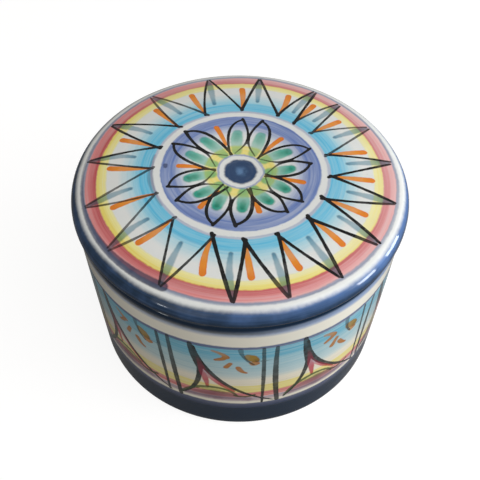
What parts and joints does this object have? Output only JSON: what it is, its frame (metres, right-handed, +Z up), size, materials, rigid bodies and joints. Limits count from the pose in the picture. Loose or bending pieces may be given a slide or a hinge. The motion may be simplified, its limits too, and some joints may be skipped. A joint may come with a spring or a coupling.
{
  "type": "lidded pyxis box",
  "caption": "Round straight-walled ceramic box with a ring foot, painted in bright glazes, and a flat crowned lid whose flange drops into the mouth.",
  "frame": {"origin": "middle of the foot ring's face, on the surface that the box stands on", "axes": "+Z up along the box's axis, from the foot to the lid"},
  "size_m": [0.11, 0.11, 0.0757],
  "materials": {
    "body_glaze": "hand-painted tin glaze, glossy, bare clay on the foot ring",
    "lid_glaze": "hand-painted tin glaze, glossy, bare clay on the flange"
  },
  "bodies": {
    "box": {"box_body": "body_glaze"},
    "cover": {"lid": "lid_glaze"}
  },
  "joints": [
    {"name": "lid_lift", "type": "slide", "parent": "box", "child": "cover", "axis": [0, 0, 1], "range_m": [0, 0.045]}
  ]
}
